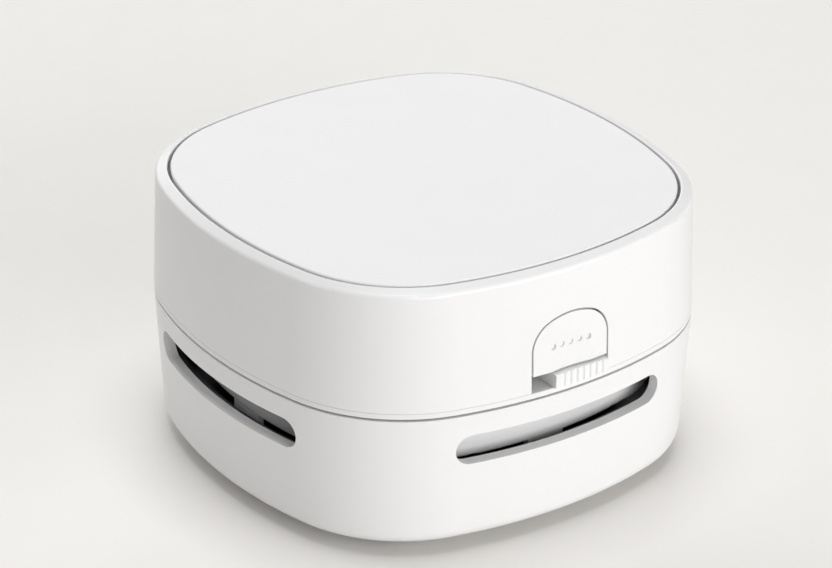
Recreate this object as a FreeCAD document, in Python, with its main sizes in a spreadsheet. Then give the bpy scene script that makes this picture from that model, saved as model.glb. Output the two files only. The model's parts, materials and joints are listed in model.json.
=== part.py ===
import FreeCAD, Part
import math
import os
import Sketcher

# Desktop mini vacuum cleaner, in millimetres.
# The origin is on the table under the middle of the cleaner. +Z is up and -Y is the front,
# where the release button and the switch are. The lower unit holds the dust cup and rolls on
# the table. The upper unit holds fan, motor, battery and switch, and plugs into the lower one.

Vector = FreeCAD.Vector

# Driving dimensions: name, value and meaning.
SIZES = (
    ("half_width", 42.0, "half the width across two flanks, at the parting line"),
    ("flank_radius", 80.4, "radius of the bowed flanks seen from above"),
    ("corner_radius", 26.1, "radius of the corners seen from above"),
    ("ground_clearance", 2.0, "underside of the lower shell above the table"),
    ("rim_height", 25.7, "top edge of the lower shell"),
    ("parting_gap", 0.4, "gap between the lower shell and the chassis band"),
    ("band_height", 0.95, "chassis band that shows between the two shells"),
    ("seam_gap", 0.06, "gap between the chassis band and the upper housing"),
    ("seam_round", 0.15, "rounding of the edges along the parting gap"),
    ("top_height", 48.3, "top of the cleaner"),
    ("fit_gap", 0.2, "clearance of parts that drop into each other"),
    ("shell_wall", 2.0, "wall of the lower shell"),
    ("shell_floor", 1.6, "floor of the lower shell"),
    ("shell_taper", 1.36, "how much the lower shell narrows to its base, each side"),
    ("base_round", 2.6, "rounding round the base"),
    ("inside_round", 1.0, "rounding inside the shells"),
    ("vent_length", 41.0, "exhaust slot, end to end"),
    ("vent_width", 5.4, "exhaust slot, height"),
    ("vent_height", 19.2, "middle of the exhaust slots above the table"),
    ("roller_clearance", 4.36, "rollers outside the dust cup's edge, in X and in Y"),
    ("roller_radius", 2.8, "roller"),
    ("roller_width", 3.2, "roller"),
    ("roller_pin_radius", 0.5, "roller pin"),
    ("roller_pin_length", 6.4, "roller pin"),
    ("running_gap", 0.05, "radial clearance of a turning fit"),
    ("well_gap", 0.4, "room round a roller in its well"),
    ("pod_wall", 1.0, "wall round a roller well"),
    ("inlet_length", 33.0, "suction inlet, end to end"),
    ("inlet_width", 8.0, "suction inlet, width"),
    ("inlet_wall", 1.0, "wall of the inlet frame's collar and of the chimney"),
    ("brush_lip", 4.5, "how far the brush frame reaches past its collar"),
    ("brush_frame_depth", 1.0, "thickness of the brush frame under the shell"),
    ("tuft_radius", 0.65, "bristle tuft"),
    ("tuft_length", 1.6, "bristle tuft, with the end in the frame"),
    ("tuft_grip", 0.7, "length of a tuft inside the frame"),
    ("tufts_per_side", 9, "tufts along one side of the inlet"),
    ("tufts_per_end", 5, "tufts round one end of the inlet"),
    ("cup_inset", 11.4, "round dust cup back from the widest line"),
    ("cup_wall", 1.2, "wall and floor of the round dust cup"),
    ("cup_rim_height", 11.8, "rim of the dust cup"),
    ("trough_height", 7.2, "underside of the trough round the dust cup"),
    ("trough_wall", 1.0, "plate and skirt of the trough"),
    ("skirt_height", 15.8, "top edge of the trough's skirt"),
    ("chimney_height", 9.0, "top of the inlet chimney inside the cup"),
    ("seal_thickness", 0.5, "seal between the dust cup and the filter frame"),
    ("filter_flange", 0.8, "thickness of the filter frame"),
    ("mesh_lap", 4.0, "mesh past the edge of the filter frame's opening"),
    ("filter_spigot_depth", 2.5, "filter frame's collar inside the cup"),
    ("filter_spigot_wall", 1.2, "filter frame's collar"),
    ("filter_rib", 1.4, "cross ribs of the filter frame"),
    ("filter_hub", 3.5, "finger knob in the middle of the filter frame"),
    ("mesh_inset", 6.6, "filter mesh, and the gasket over it, in from the dust cup's edge"),
    ("mesh_thickness", 0.5, "filter mesh"),
    ("clamp_thickness", 1.0, "ring that holds the filter mesh"),
    ("drum_inset", 6.3, "fan shroud, seen through the slots, back from the widest line"),
    ("drum_wall", 1.4, "wall of the fan shroud"),
    ("drum_flange_width", 8.7, "top flange of the shroud, in the middle of a side"),
    ("drum_flange", 1.0, "thickness of the shroud's top flange"),
    ("drum_bottom", 14.45, "lower edge of the fan shroud"),
    ("drum_round", 0.4, "rounding of the shroud's lower edge"),
    ("apron_width", 7.0, "aprons in the middle of the shroud's sides"),
    ("apron_depth", 2.1, "aprons below the shroud's lower edge"),
    ("apron_setback", 0.1, "aprons behind the shroud's bowed face"),
    ("plate_inset", 4.7, "edge of the fan's lower plate, and the screws, inside the shroud"),
    ("plate_thickness", 1.0, "fan's lower plate"),
    ("plate_eye", 13.0, "radius of the fan's inlet"),
    ("post_inset", 2.4, "posts between fan plate and shroud, in from the plate's edge"),
    ("post_radius", 1.8, "post"),
    ("gasket_width", 2.5, "inlet gasket"),
    ("impeller_inset", 5.5, "impeller, in from the plate's edge"),
    ("impeller_disc", 1.2, "impeller's back disc"),
    ("impeller_headroom", 2.55, "impeller below the chassis deck"),
    ("impeller_gap", 1.5, "impeller's blades above the fan plate"),
    ("impeller_hub", 3.5, "impeller's hub"),
    ("blade_thickness", 1.0, "blade"),
    ("blade_inner", 8.0, "inner end of the blades"),
    ("blade_count", 9, "blades"),
    ("shaft_radius", 1.0, "motor shaft"),
    ("plug_gap", 0.3, "clearance round the chassis skirt in the lower shell"),
    ("plug_depth", 3.45, "how far the chassis skirt reaches down"),
    ("plug_wall", 1.2, "wall of the chassis skirt"),
    ("housing_wall", 1.8, "wall of the upper housing"),
    ("housing_taper", 0.72, "how much the upper housing narrows to its top, each side"),
    ("rim_width", 2.8, "rim from the widest line to the panel gap"),
    ("rim_drop", 0.8, "fall of the sloping rim"),
    ("edge_round", 0.8, "rounding between the rim and the flank"),
    ("lip_round", 0.25, "rounding along the panel gap"),
    ("roof_thickness", 1.3, "roof under the top panel"),
    ("panel_gap", 0.52, "gap round the top panel"),
    ("panel_thickness", 1.6, "top panel"),
    ("panel_edge", 0.3, "rounding of the top panel's edge"),
    ("bond_thickness", 0.2, "adhesive under the top panel"),
    ("bond_inset", 3.0, "adhesive back from the panel's edge"),
    ("screw_inset", 10.6, "housing screws inside the shroud's widest line, in X and in Y"),
    ("boss_radius", 3.0, "boss of a housing screw"),
    ("screw_radius", 0.9, "screw thread"),
    ("screw_head_radius", 1.7, "screw head"),
    ("screw_head_height", 1.0, "screw head"),
    ("screw_length", 7.0, "housing and shroud screws, under the head"),
    ("shroud_boss_height", 6.2, "chassis bosses of the shroud screws"),
    ("button_half_width", 7.35, "release button"),
    ("button_bottom", 30.0, "lower edge of the release button"),
    ("button_top", 39.6, "crown of the release button"),
    ("button_corner", 5.2, "shoulder radius of the release button"),
    ("button_crown", 10.7, "crown radius of the release button"),
    ("button_gap", 0.35, "gap round the release button"),
    ("button_travel", 1.2, "travel of the release button"),
    ("button_depth", 3.3, "button's back face behind the widest line"),
    ("dimple_radius", 4.75, "thumb dimple on the button"),
    ("dimple_depth", 0.45, "thumb dimple on the button"),
    ("dimple_height", 32.65, "middle of the thumb dimple"),
    ("mark_count", 5, "pips on the button"),
    ("mark_pitch", 1.75, "pips on the button"),
    ("mark_radius", 0.55, "pips on the button"),
    ("mark_depth", 0.2, "pips on the button"),
    ("mark_height", 34.3, "row of pips above the table"),
    ("fork_lip", 0.7, "plate behind the button, past the button's edge"),
    ("fork_thickness", 1.0, "plate and legs of the latch fork"),
    ("leg_inner", 9.2, "latch legs from the middle"),
    ("leg_width", 3.0, "latch leg"),
    ("leg_setback", 4.9, "front of the latch legs behind the widest line"),
    ("leg_bottom", 22.9, "lower end of the latch legs"),
    ("leg_shoulder", 33.0, "top of the latch legs"),
    ("nose_height", 1.2, "latch nose"),
    ("nose_reach", 1.45, "latch nose in front of its leg"),
    ("slot_room", 0.4, "room beside a latch leg in its slot"),
    ("knob_left", -3.55, "left end of the switch knob when off"),
    ("knob_length", 10.6, "switch knob"),
    ("knob_height", 2.45, "switch knob"),
    ("knob_lift", 0.1, "switch knob above the chassis band"),
    ("knob_depth", 6.0, "switch knob from front to back"),
    ("knob_reach", 0.65, "face of the switch knob in front of the widest line"),
    ("knob_round", 0.25, "rounding of the knob's front edges"),
    ("knob_travel", 3.9, "travel of the switch knob"),
    ("groove_radius", 0.46, "grip grooves on the knob"),
    ("groove_depth", 0.3, "grip grooves on the knob"),
    ("groove_pitch", 1.28, "grip grooves on the knob"),
    ("groove_count", 7, "grip grooves on the knob"),
    ("lever_width", 2.0, "lever of the slide switch"),
    ("lever_height", 1.0, "lever of the slide switch"),
    ("lever_in_knob", 1.0, "lever inside the knob"),
    ("lever_in_switch", 1.2, "lever inside the slide switch"),
    ("switch_length", 13.0, "slide switch"),
    ("switch_depth", 5.0, "slide switch"),
    ("switch_height", 4.0, "slide switch"),
    ("switch_setback", 7.5, "front of the slide switch behind the widest line"),
    ("bracket_gap", 4.5, "spring bracket behind the fork's plate at rest"),
    ("bracket_thickness", 2.0, "spring bracket"),
    ("bracket_top", 38.0, "spring bracket"),
    ("bracket_bar", 5.0, "cross bar of the spring bracket"),
    ("bracket_half_width", 11.5, "spring bracket"),
    ("bracket_post", 2.0, "posts of the spring bracket"),
    ("spring_height", 3.0, "leaf spring"),
    ("spring_thickness", 0.3, "leaf spring"),
    ("spring_half_span", 8.0, "leaf spring"),
    ("spring_clearance", 0.1, "leaf spring's crown behind the fork's plate"),
    ("cushion_share", 0.655, "inside of the rubber ring, as a share of the motor's radius"),
    ("cushion_thickness", 1.0, "rubber ring under the motor"),
    ("motor_share", 0.82, "share of the room in front of the battery cell that the motor takes"),
    ("motor_headroom", 1.65, "room over the motor's terminals"),
    ("motor_wall", 0.8, "wall of the motor can"),
    ("motor_face", 1.0, "lower face of the motor can"),
    ("bushing_share", 0.245, "radius of the motor bushing, as a share of the motor's"),
    ("bushing_length", 2.0, "motor bushing"),
    ("magnet_share", 0.62, "inside of the motor magnets, as a share of the motor's radius"),
    ("magnet_end_gap", 1.0, "magnets below the motor's end cap"),
    ("magnet_split", 3.0, "gap between the two magnets"),
    ("armature_air_gap", 0.8, "armature inside the magnets"),
    ("armature_end_gap", 1.5, "armature below the motor's end cap"),
    ("armature_gap", 1.0, "armature above the bushing"),
    ("cap_thickness", 1.5, "motor end cap"),
    ("shaft_in_cap", 1.0, "shaft inside the end cap"),
    ("motor_screw_share", 0.45, "motor screws from the middle, as a share of the motor's radius"),
    ("motor_screw_length", 2.9, "motor screws"),
    ("terminal_share", 0.57, "terminals from the middle, as a share of the motor's radius"),
    ("terminal_height", 2.0, "motor terminals"),
    ("cell_headroom", 2.0, "room over the battery cell"),
    ("cell_end_gap", 3.0, "battery cell clear of the screw bosses"),
    ("cell_board_gap", 1.2, "battery cell in front of the circuit board"),
    ("cell_lift", 1.95, "battery cell above the chassis"),
    ("saddle_inset", 5.5, "middle of a battery saddle in from the cell's end"),
    ("saddle_length", 6.0, "battery saddle"),
    ("saddle_margin", 1.1, "battery saddle narrower than the cell, each side"),
    ("saddle_height", 6.0, "battery saddle"),
    ("tab_thickness", 0.4, "battery end tab"),
    ("tab_radius", 3.0, "battery end tab"),
    ("board_setback", 4.0, "rear edge of the circuit board in front of the widest line"),
    ("board_width", 30.0, "circuit board"),
    ("board_depth", 7.7, "circuit board"),
    ("board_thickness", 1.0, "circuit board"),
    ("board_lift", 4.35, "circuit board above the chassis"),
    ("standoff_radius", 1.8, "posts under the circuit board"),
    ("standoff_offset", 12.0, "posts under the circuit board"),
    ("socket_width", 8.9, "charging socket"),
    ("socket_height", 3.2, "charging socket"),
    ("socket_wall", 0.3, "charging socket"),
    ("socket_length", 8.0, "charging socket"),
    ("socket_recess", 1.0, "mouth of the socket behind the widest line"),
    ("socket_gap", 0.25, "gap round the socket in the housing"),
    ("tongue_width", 6.6, "tongue of the charging socket"),
    ("tongue_height", 0.7, "tongue of the charging socket"),
    ("lamp_radius", 1.1, "charge lamp"),
    ("lamp_offset", 9.0, "charge lamp from the middle"),
    ("lamp_length", 6.0, "charge lamp"),
)

doc = FreeCAD.newDocument("desk_vacuum")
sheet = doc.addObject("Spreadsheet::Sheet", "sizes")
for row, (alias, value, meaning) in enumerate(SIZES, start=1):
    sheet.set(f"A{row}", meaning)
    sheet.set(f"B{row}", str(value))
    sheet.setAlias(f"B{row}", alias)
doc.recompute()


class Length:
    """A length taken from the sheet: the expression that binds it, and its present value."""

    def __init__(self, text, value):
        self.text = text
        self.value = value

    def __add__(self, other):
        other = as_length(other)
        return Length(f"({self.text} + {other.text})", self.value + other.value)

    def __sub__(self, other):
        other = as_length(other)
        return Length(f"({self.text} - {other.text})", self.value - other.value)

    def __mul__(self, other):
        other = as_length(other)
        return Length(f"({self.text} * {other.text})", self.value * other.value)

    def __truediv__(self, other):
        other = as_length(other)
        return Length(f"({self.text} / {other.text})", self.value / other.value)

    def __neg__(self):
        return Length(f"(0 - {self.text})", -self.value)


def as_length(number):
    if isinstance(number, Length):
        return number
    return Length(repr(float(number)), float(number))


def size(alias):
    return Length(f"sizes.{alias}", float(sheet.get(alias)))


def count(alias):
    return int(size(alias).value)


ZERO = as_length(0)
nodes = []


def keep(item, label):
    """Name an object and put it on the list of sub-parts."""
    item.Label = label
    nodes.append(item)
    return item


def bind(item, lengths):
    for name, length in lengths.items():
        item.setExpression(name, as_length(length).text)


# Simple solids

def place(item, x, y, z, rotation=None):
    if rotation is not None:
        item.Placement = FreeCAD.Placement(Vector(), rotation)
    bind(item, {"Placement.Base.x": x, "Placement.Base.y": y, "Placement.Base.z": z})


def box(name, low, extent):
    """A box from its low corner and its extent."""
    item = doc.addObject("Part::Box", name)
    bind(item, {"Length": extent[0], "Width": extent[1], "Height": extent[2]})
    place(item, *low)
    return item


def cylinder(name, radius, height, start, rotation=None):
    """A cylinder that rises from its start along +Z, or along the rotated Z."""
    item = doc.addObject("Part::Cylinder", name)
    bind(item, {"Radius": radius, "Height": height})
    place(item, *start, rotation)
    return item


def cut(name, base, tools):
    item = doc.addObject("Part::Cut", name)
    item.Base = base
    item.Tool = tools[0] if len(tools) == 1 else fuse(f"{name}_tools", tools)
    return item


def fuse(name, solids):
    item = doc.addObject("Part::MultiFuse", name)
    item.Shapes = solids
    return item


def group(name, solids):
    """Separate solids that share one node."""
    item = doc.addObject("Part::Compound", name)
    item.Links = solids
    return item


ALONG_X = FreeCAD.Rotation(Vector(0, 1, 0), 90)
ALONG_Y = FreeCAD.Rotation(Vector(1, 0, 0), -90)


# Sketches

def new_body(name):
    return doc.addObject("PartDesign::Body", name)


def new_sketch(body, name, role, offset=ZERO):
    """A sketch on a plane of its own body, moved along the plane's normal."""
    plane = next(item for item in body.Origin.OriginFeatures if item.Role == role)
    sketch = body.newObject("Sketcher::SketchObject", name)
    sketch.AttachmentSupport = [(plane, "")]
    sketch.MapMode = "FlatFace"
    bind(sketch, {"AttachmentOffset.Base.z": offset})
    return sketch


def hold(sketch, kind, *arguments):
    """Add a constraint whose last argument is a length of the sheet."""
    length = arguments[-1]
    index = sketch.addConstraint(Sketcher.Constraint(kind, *arguments[:-1], length.value))
    sketch.setExpression(f"Constraints[{index}]", length.text)


def tie(sketch, kind, *arguments):
    sketch.addConstraint(Sketcher.Constraint(kind, *arguments))


def pin_point(sketch, item, end, x, y):
    """Fix a point by its distances from the sketch's origin."""
    hold(sketch, "DistanceX", -1, 1, item, end, x)
    hold(sketch, "DistanceY", -1, 1, item, end, y)


def add_arc(sketch, centre, radius, start, end):
    circle = Part.Circle(Vector(centre[0], centre[1], 0), Vector(0, 0, 1), radius)
    return sketch.addGeometry(Part.ArcOfCircle(circle, start, end), False)


def add_line(sketch, start, end):
    first = Vector(start[0], start[1], 0)
    last = Vector(end[0], end[1], 0)
    return sketch.addGeometry(Part.LineSegment(first, last), False)


def outline(body, name, height, inset=ZERO):
    """The rounded square seen from above: bowed flanks joined by tighter corners.

    The first flank is split where it crosses +X, so that a swept section starts there.
    """
    sketch = new_sketch(body, name, "XY_Plane", height)
    flank = size("flank_radius") - inset
    corner = size("corner_radius") - inset
    back = size("flank_radius") - size("half_width")
    away = back.value
    gap = flank.value - corner.value
    reach = (math.sqrt(8 * gap * gap - 4 * away * away) - 2 * away) / 4
    turn = math.atan2(reach, reach + away)
    quarter = math.pi / 2
    arcs = []
    for step in range(5):
        heading = step * quarter
        middle = (-away * math.cos(heading), -away * math.sin(heading))
        first = heading if step == 0 else heading - turn
        last = heading if step == 4 else heading + turn
        arcs.append(add_arc(sketch, middle, flank.value, first, last))
        if step < 4:
            diagonal = heading + quarter / 2
            spread = reach * math.sqrt(2)
            middle = (spread * math.cos(diagonal), spread * math.sin(diagonal))
            arcs.append(add_arc(sketch, middle, corner.value, heading + turn,
                                heading + quarter - turn))
    for item, following in zip(arcs, arcs[1:] + arcs[:1]):
        tie(sketch, "Tangent", item, 2, following, 1)
    tie(sketch, "PointOnObject", arcs[0], 1, -1)
    tie(sketch, "PointOnObject", arcs[0], 3, -1)
    tie(sketch, "PointOnObject", arcs[4], 3, -1)
    tie(sketch, "PointOnObject", arcs[2], 3, -2)
    tie(sketch, "PointOnObject", arcs[6], 3, -2)
    hold(sketch, "DistanceX", arcs[0], 3, -1, 1, back)
    hold(sketch, "DistanceY", arcs[2], 3, -1, 1, back)
    hold(sketch, "DistanceX", -1, 1, arcs[4], 3, back)
    hold(sketch, "DistanceY", -1, 1, arcs[6], 3, back)
    hold(sketch, "Radius", arcs[0], flank)
    hold(sketch, "Radius", arcs[1], corner)
    for item in arcs[2::2]:
        tie(sketch, "Equal", arcs[0], item)
    for item in arcs[3::2]:
        tie(sketch, "Equal", arcs[1], item)
    return sketch


def section(body, name, points, role="XZ_Plane", offset=ZERO):
    """A closed section through points (across, up) or, with rounding, (across, up, radius)."""
    sketch = new_sketch(body, name, role, offset)
    corners = []
    for index, point in enumerate(points):
        here = Vector(point[0].value, point[1].value, 0)
        before = points[index - 1]
        after = points[(index + 1) % len(points)]
        back = (Vector(before[0].value, before[1].value, 0) - here).normalize()
        ahead = (Vector(after[0].value, after[1].value, 0) - here).normalize()
        if len(point) == 2:
            corners.append((here, here, None))
            continue
        half = back.getAngle(ahead) / 2
        radius = point[2].value
        trim = radius / math.tan(half)
        middle = here + (back + ahead).normalize() * (radius / math.sin(half))
        corners.append((here + back * trim, here + ahead * trim, middle))
    lines = []
    for index, corner in enumerate(corners):
        following = corners[(index + 1) % len(corners)]
        lines.append(add_line(sketch, corner[1], following[0]))
    for index, (point, corner) in enumerate(zip(points, corners)):
        arriving = lines[index - 1]
        leaving = lines[index]
        if corner[2] is None:
            tie(sketch, "Coincident", arriving, 2, leaving, 1)
            pin_point(sketch, leaving, 1, point[0], point[1])
            continue
        add_rounding(sketch, arriving, leaving, point, corner)
    return sketch


def add_rounding(sketch, arriving, leaving, point, corner):
    """An arc between two lines whose sharp corner stays where the sizes put it."""
    first, last, middle = corner
    start = math.atan2(first.y - middle.y, first.x - middle.x)
    end = math.atan2(last.y - middle.y, last.x - middle.x)
    left_turn = (first - middle).cross(last - middle).z > 0
    if not left_turn:
        start, end = end, start
    if end < start:
        end += 2 * math.pi
    arc = add_arc(sketch, middle, point[2].value, start, end)
    tie(sketch, "Tangent", arriving, 2, arc, 1 if left_turn else 2)
    tie(sketch, "Tangent", arc, 2 if left_turn else 1, leaving, 1)
    hold(sketch, "Radius", arc, point[2])
    sharp = Part.Point(Vector(point[0].value, point[1].value, 0))
    corner_point = sketch.addGeometry(sharp, True)
    pin_point(sketch, corner_point, 1, point[0], point[1])
    tie(sketch, "PointOnObject", corner_point, 1, arriving)
    tie(sketch, "PointOnObject", corner_point, 1, leaving)


def add_rectangle(sketch, low, high):
    """A rectangle between two corners, each an (x, y) pair of lengths."""
    left, bottom = low[0].value, low[1].value
    right, top = high[0].value, high[1].value
    spots = ((left, bottom), (right, bottom), (right, top), (left, top))
    lines = [add_line(sketch, spots[side], spots[(side + 1) % 4]) for side in range(4)]
    for side in range(4):
        tie(sketch, "Coincident", lines[side], 2, lines[(side + 1) % 4], 1)
        tie(sketch, "Vertical" if side % 2 else "Horizontal", lines[side])
    pin_point(sketch, lines[0], 1, low[0], low[1])
    pin_point(sketch, lines[2], 1, high[0], high[1])


def add_circle(sketch, x, y, radius):
    circle = Part.Circle(Vector(x.value, y.value, 0), Vector(0, 0, 1), radius.value)
    item = sketch.addGeometry(circle, False)
    pin_point(sketch, item, 3, x, y)
    hold(sketch, "Radius", item, radius)


def add_slot(sketch, x, y, length, width):
    """A slot with round ends, lying along the sketch's first axis."""
    radius = width / 2
    run = (length - width) / 2
    quarter = math.pi / 2
    left, right = (x - run).value, (x + run).value
    low, high = (y - radius).value, (y + radius).value
    bottom = add_line(sketch, (left, low), (right, low))
    right_end = add_arc(sketch, (right, y.value), radius.value, -quarter, quarter)
    top = add_line(sketch, (right, high), (left, high))
    left_end = add_arc(sketch, (left, y.value), radius.value, quarter, 3 * quarter)
    loop = (bottom, right_end, top, left_end)
    for item, following in zip(loop, loop[1:] + loop[:1]):
        tie(sketch, "Tangent", item, 2, following, 1)
    tie(sketch, "Horizontal", bottom)
    tie(sketch, "Horizontal", top)
    hold(sketch, "Radius", right_end, radius)
    pin_point(sketch, right_end, 3, x + run, y)
    hold(sketch, "DistanceX", -1, 1, left_end, 3, x - run)


def add_arch(sketch, gap, bottom):
    """The button's outline: upright sides, rounded shoulders and a flatter crown."""
    half = size("button_half_width") + gap
    shoulder = size("button_corner") + gap
    crown = size("button_crown") + gap
    crown_middle = size("button_top") - size("button_crown")
    across = (half - shoulder).value
    between = (crown - shoulder).value
    shoulder_middle = crown_middle.value + math.sqrt(between * between - across * across)
    lean = math.atan2(shoulder_middle - crown_middle.value, across)
    side = half.value
    base = add_line(sketch, (-side, bottom.value), (side, bottom.value))
    right = add_line(sketch, (side, bottom.value), (side, shoulder_middle))
    right_arc = add_arc(sketch, (across, shoulder_middle), shoulder.value, 0, lean)
    top_arc = add_arc(sketch, (0, crown_middle.value), crown.value, lean, math.pi - lean)
    left_arc = add_arc(sketch, (-across, shoulder_middle), shoulder.value,
                       math.pi - lean, math.pi)
    left = add_line(sketch, (-side, shoulder_middle), (-side, bottom.value))
    tie(sketch, "Coincident", base, 2, right, 1)
    tie(sketch, "Tangent", right, 2, right_arc, 1)
    tie(sketch, "Tangent", right_arc, 2, top_arc, 1)
    tie(sketch, "Tangent", top_arc, 2, left_arc, 1)
    tie(sketch, "Tangent", left_arc, 2, left, 1)
    tie(sketch, "Coincident", left, 2, base, 1)
    tie(sketch, "Horizontal", base)
    tie(sketch, "Vertical", right)
    tie(sketch, "Vertical", left)
    pin_point(sketch, base, 2, half, bottom)
    hold(sketch, "DistanceX", -1, 1, base, 1, -half)
    tie(sketch, "PointOnObject", top_arc, 3, -2)
    hold(sketch, "DistanceY", -1, 1, top_arc, 3, crown_middle)
    hold(sketch, "Radius", top_arc, crown)
    hold(sketch, "Radius", right_arc, shoulder)
    tie(sketch, "Equal", right_arc, left_arc)


# Features

def pad(body, name, sketch, length, reverse=False, midplane=False):
    feature = body.newObject("PartDesign::Pad", name)
    feature.Profile = sketch
    feature.Reversed = reverse
    feature.Midplane = midplane
    bind(feature, {"Length": length})
    return feature


def pocket(body, name, sketch, length, reverse=False, midplane=False):
    """A cut of a given depth, against the sketch's normal unless reversed."""
    feature = body.newObject("PartDesign::Pocket", name)
    feature.Profile = sketch
    feature.Reversed = reverse
    feature.Midplane = midplane
    bind(feature, {"Length": length})
    doc.recompute()
    if feature.Shape.Volume >= feature.BaseFeature.Shape.Volume - 1e-6:
        raise RuntimeError(f"{name} removes nothing")
    return feature


def sweep_round(body, name, points):
    """A wall of the given section, carried once round the outline."""
    spine = outline(body, f"{name}_path", ZERO)
    profile = section(body, f"{name}_section", points)
    feature = body.newObject("PartDesign::AdditivePipe", name)
    feature.Profile = profile
    feature.Spine = (spine, [])
    return feature


def slab(body, name, low, thickness, inset):
    return pad(body, name, outline(body, f"{name}_outline", low, inset), thickness)


def turned(name, points):
    """A solid of revolution about Z, from a section of (radius, height) points."""
    body = new_body(name)
    profile = section(body, f"{name}_section", points)
    feature = body.newObject("PartDesign::Revolution", f"{name}_turn")
    feature.Profile = profile
    feature.ReferenceAxis = (profile, ["V_Axis"])
    feature.Angle = 360
    return body


def ring(name, inner, outer, low, thickness):
    high = low + thickness
    return turned(name, ((inner, low), (outer, low), (outer, high), (inner, high)))


def screw(name, x, y, under_head, length):
    """A screw driven upwards, with its head below."""
    head_height = size("screw_head_height")
    head = cylinder(f"{name}_head", size("screw_head_radius"), head_height,
                    (x, y, under_head - head_height))
    shank = cylinder(f"{name}_shank", size("screw_radius"), length, (x, y, under_head))
    return fuse(name, [head, shank])


# Places that several pieces share

half_width = size("half_width")
ground = size("ground_clearance")
shell_floor_top = ground + size("shell_floor")
band_bottom = size("rim_height") + size("parting_gap")
band_top = band_bottom + size("band_height")
housing_bottom = band_top + size("seam_gap")
recess_floor = size("top_height") - size("panel_thickness") - size("bond_thickness")
roof_underside = recess_floor - size("roof_thickness")
floor_lap = as_length(12)
overlap = as_length(1)
CORNERS = ((-1, -1), (1, -1), (1, 1), (-1, 1))
SIDES = (-1, 1)
corner_share = math.sqrt(0.5)
cup_radius = half_width - size("cup_inset")
mesh_radius = cup_radius - size("mesh_inset")
roller_offset = cup_radius * corner_share + size("roller_clearance")
drum_radius = half_width - size("drum_inset")
screw_offset = drum_radius - size("screw_inset")
plate_radius = drum_radius - size("plate_inset")
post_circle = plate_radius - size("post_inset")
impeller_radius = plate_radius - size("impeller_inset")
filter_opening = mesh_radius - size("mesh_lap")
motor_floor = band_top + size("cushion_thickness")
motor_length = (roof_underside - motor_floor - size("cap_thickness") - size("terminal_height")
                - size("motor_headroom"))
board_rear = half_width - size("board_setback")
cell_radius = (roof_underside - band_top - size("cell_lift") - size("cell_headroom")) / 2
cell_length = (screw_offset - size("boss_radius") - size("cell_end_gap")) * 2
cell_back = board_rear - size("board_depth") - size("cell_board_gap") - cell_radius
motor_radius = (cell_back - cell_radius) * size("motor_share")
bushing_radius = motor_radius * size("bushing_share")
motor_screw_offset = motor_radius * size("motor_screw_share")


def shell_inset(height):
    """How far the lower shell's outside stands back from the widest line at a height."""
    return size("shell_taper") * (size("rim_height") - height) / (size("rim_height") - ground)


def shell_inside(height):
    """Half the clear width inside the lower shell at a height."""
    return half_width - size("shell_wall") - shell_inset(height)


# Lower shell

def make_lower_shell():
    body = new_body("lower_shell_body")
    seam = half_width - floor_lap
    base = half_width - size("shell_taper")
    sweep_round(body, "shell_wall_sweep", (
        (half_width, size("rim_height"), size("seam_round")),
        (base, ground, size("base_round")),
        (seam, ground),
        (seam, shell_floor_top),
        (base - size("shell_wall"), shell_floor_top, size("inside_round")),
        (half_width - size("shell_wall"), size("rim_height")),
    ))
    slab(body, "shell_base", ground, size("shell_floor"), floor_lap - overlap)
    add_roller_pods(body)
    across = half_width * 2 + overlap
    for role, name in (("XZ_Plane", "front_vents"), ("YZ_Plane", "side_vents")):
        sketch = new_sketch(body, f"{name}_slot", role)
        add_slot(sketch, ZERO, size("vent_height"), size("vent_length"), size("vent_width"))
        pocket(body, name, sketch, across, midplane=True)
    hole = new_sketch(body, "inlet_hole_slot", "XY_Plane", shell_floor_top)
    add_slot(hole, ZERO, ZERO, inlet_collar_length(), inlet_collar_width())
    pocket(body, "inlet_hole", hole, size("shell_floor"))
    keepers = new_sketch(body, "keeper_groove_outlines", "XZ_Plane", shell_inside(nose_top()))
    for side in SIDES:
        near, far = leg_span(side)
        add_rectangle(keepers, (near, size("leg_bottom") - size("fit_gap")),
                      (far, nose_top() + size("fit_gap")))
    pocket(body, "keeper_grooves", keepers, overlap * 2)
    keep(body, "lower_shell")


def leg_span(side):
    """Left and right edges of the room that a latch leg moves in."""
    near = size("leg_inner") - size("slot_room")
    far = size("leg_inner") + size("leg_width") + size("slot_room")
    return (near, far) if side > 0 else (-far, -near)


def well_half_length():
    return size("roller_width") / 2 + size("well_gap")


def well_half_width():
    return size("roller_radius") + size("well_gap")


def add_roller_pods(body):
    """Closed pods over the four roller wells, with slots that the pins snap into."""
    well_top = size("roller_radius") * 2 + size("well_gap")
    pod_half_x = size("roller_pin_length") / 2 + size("pod_wall") / 2
    pod_half_y = well_half_width() + size("pod_wall")
    slot_top = size("roller_radius") + size("roller_pin_radius")
    spots = [(roller_offset * x, roller_offset * y) for x, y in CORNERS]
    pods = new_sketch(body, "roller_pods_outline", "XY_Plane", shell_floor_top - overlap)
    wells = new_sketch(body, "roller_wells_outline", "XY_Plane", well_top)
    slots = new_sketch(body, "pin_slots_outline", "XY_Plane", slot_top)
    for x, y in spots:
        add_rectangle(pods, (x - pod_half_x, y - pod_half_y), (x + pod_half_x, y + pod_half_y))
        add_rectangle(wells, (x - well_half_length(), y - well_half_width()),
                      (x + well_half_length(), y + well_half_width()))
        pin = size("roller_pin_radius")
        reach = size("roller_pin_length") / 2
        add_rectangle(slots, (x - reach, y - pin), (x + reach, y + pin))
    pod_height = well_top + size("pod_wall") - shell_floor_top + overlap
    pad(body, "roller_pods", pods, pod_height)
    pocket(body, "roller_wells", wells, well_top)
    pocket(body, "pin_slots", slots, slot_top)


# Rollers

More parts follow.
